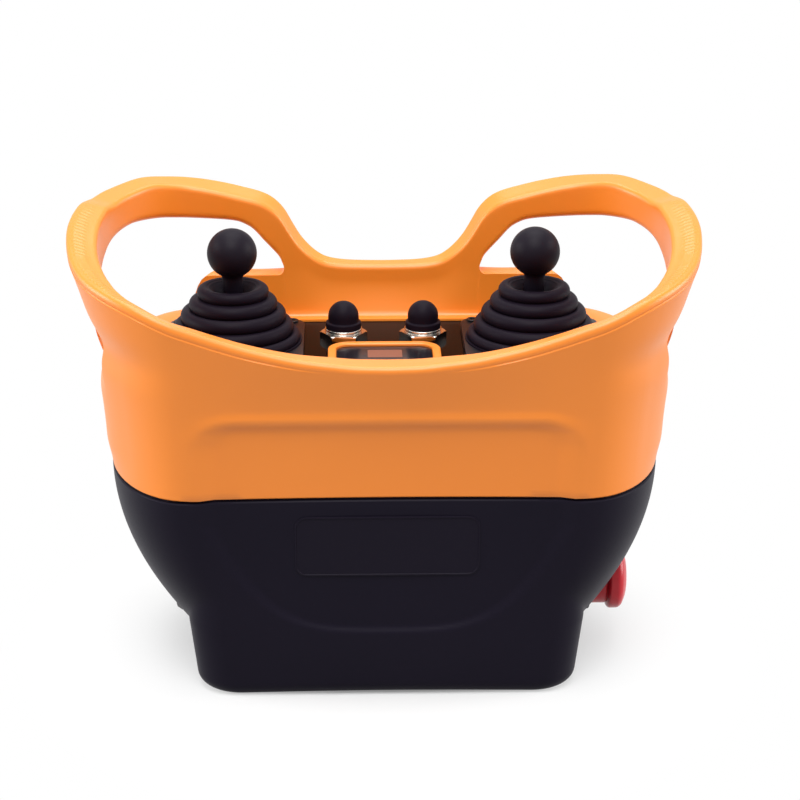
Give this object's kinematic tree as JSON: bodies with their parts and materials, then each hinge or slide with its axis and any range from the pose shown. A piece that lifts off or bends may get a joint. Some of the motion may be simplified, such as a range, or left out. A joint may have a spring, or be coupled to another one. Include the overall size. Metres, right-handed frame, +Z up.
{
  "type": "crane radio remote control",
  "caption": "Belly-box radio remote for a crane: dark case, amber crown with windowed side handles, gimballed joysticks, push buttons, display, stop and key switch.",
  "frame": {"origin": "middle of the flat base, on the surface that it stands on", "axes": "+X to the operator-view right as pictured, where the stop switch is; -Y the front with the label; +Z up"},
  "size_m": [0.2668, 0.1353, 0.197],
  "materials": {
    "amber_plastic": "satin moulded, fine grain",
    "graphite_plastic": "satin moulded, fine grain",
    "black_plastic": "satin",
    "gloss_black": "polished",
    "label_plastic": "fine matt film",
    "smoke_window": "smoked, polished",
    "circuit_board": "coated laminate",
    "dark_steel": "black oxide",
    "steel": "zinc plated",
    "bright_nickel": "nickel plated",
    "knob_plastic": "satin",
    "rubber": "matt",
    "stop_red": "semi-gloss moulded",
    "brass": "plain",
    "battery_grey": "shrink-wrapped"
  },
  "bodies": {
    "housing": {"lower_case": "graphite_plastic", "seam_gasket": "rubber", "crown_housing": "amber_plastic", "panel_seal": "rubber", "control_panel": "gloss_black", "label_plate": "label_plastic", "display_frame": "amber_plastic", "display_window": "smoke_window", "display_module": "circuit_board", "left_clamp_frame": "black_plastic", "left_clamp_screws": "dark_steel", "left_stick_housing": "graphite_plastic", "left_boot_lower": "rubber", "right_clamp_frame": "black_plastic", "right_clamp_screws": "dark_steel", "right_stick_housing": "graphite_plastic", "right_boot_lower": "rubber", "start_switch": "black_plastic", "start_nut": "bright_nickel", "start_collar": "bright_nickel", "start_cap": "rubber", "horn_switch": "black_plastic", "horn_nut": "bright_nickel", "horn_collar": "bright_nickel", "horn_cap": "rubber", "stop_bush": "graphite_plastic", "stop_nut": "steel", "stop_contact_block": "black_plastic", "key_ring": "black_plastic", "key_nut": "steel", "key_switch_block": "black_plastic", "battery_holder": "graphite_plastic", "battery_contacts": "brass", "battery_pack": "battery_grey", "battery_cover": "graphite_plastic", "battery_cover_screws": "steel", "main_board": "circuit_board", "board_screws": "steel", "antenna": "black_plastic", "case_screws": "steel"},
    "left_yoke": {"left_stick_yoke": "steel", "left_boot_upper": "rubber"},
    "left_lever": {"left_stick_lever": "black_plastic", "left_ball_knob": "knob_plastic"},
    "right_yoke": {"right_stick_yoke": "steel", "right_boot_upper": "rubber"},
    "right_lever": {"right_stick_lever": "black_plastic", "right_ball_knob": "knob_plastic"},
    "start_button": {"start_plunger": "steel"},
    "horn_button": {"horn_plunger": "steel"},
    "stop_shaft": {"stop_shaft": "steel"},
    "stop_head": {"stop_head": "stop_red"},
    "key_rotor": {"key_rotor": "steel"}
  },
  "joints": [
    {"name": "left_stick_fore_aft", "type": "hinge", "parent": "housing", "child": "left_yoke", "pos_m": [-0.065, 0.016, 0.123], "axis": [1, 0, 0], "range_deg": [-20, 20], "stiffness_Nm_per_rad": 0.4, "deforming": ["left_boot_lower"]},
    {"name": "left_stick_sideways", "type": "hinge", "parent": "left_yoke", "child": "left_lever", "pos_m": [-0.065, 0.016, 0.123], "axis": [0, 1, 0], "range_deg": [-20, 20], "stiffness_Nm_per_rad": 0.4, "deforming": ["left_boot_upper"]},
    {"name": "right_stick_fore_aft", "type": "hinge", "parent": "housing", "child": "right_yoke", "pos_m": [0.065, 0.016, 0.123], "axis": [1, 0, 0], "range_deg": [-20, 20], "stiffness_Nm_per_rad": 0.4, "deforming": ["right_boot_lower"]},
    {"name": "right_stick_sideways", "type": "hinge", "parent": "right_yoke", "child": "right_lever", "pos_m": [0.065, 0.016, 0.123], "axis": [0, 1, 0], "range_deg": [-20, 20], "stiffness_Nm_per_rad": 0.4, "deforming": ["right_boot_upper"]},
    {"name": "start_press", "type": "slide", "parent": "housing", "child": "start_button", "axis": [0, 0, -1], "range_m": [0, 0.0025], "stiffness_N_per_m": 1600, "deforming": ["start_cap"]},
    {"name": "horn_press", "type": "slide", "parent": "housing", "child": "horn_button", "axis": [0, 0, -1], "range_m": [0, 0.0025], "stiffness_N_per_m": 1600, "deforming": ["horn_cap"]},
    {"name": "stop_push", "type": "slide", "parent": "housing", "child": "stop_shaft", "axis": [-1, 0, 0], "range_m": [0, 0.0036]},
    {"name": "stop_twist", "type": "hinge", "parent": "stop_shaft", "child": "stop_head", "pos_m": [0.098, 0, 0.029], "axis": [1, 0, 0], "range_deg": [0, 45], "stiffness_Nm_per_rad": 0.02},
    {"name": "key_turn", "type": "hinge", "parent": "housing", "child": "key_rotor", "pos_m": [-0.086, 0, 0.029], "axis": [1, 0, 0], "range_deg": [0, 90]}
  ]
}
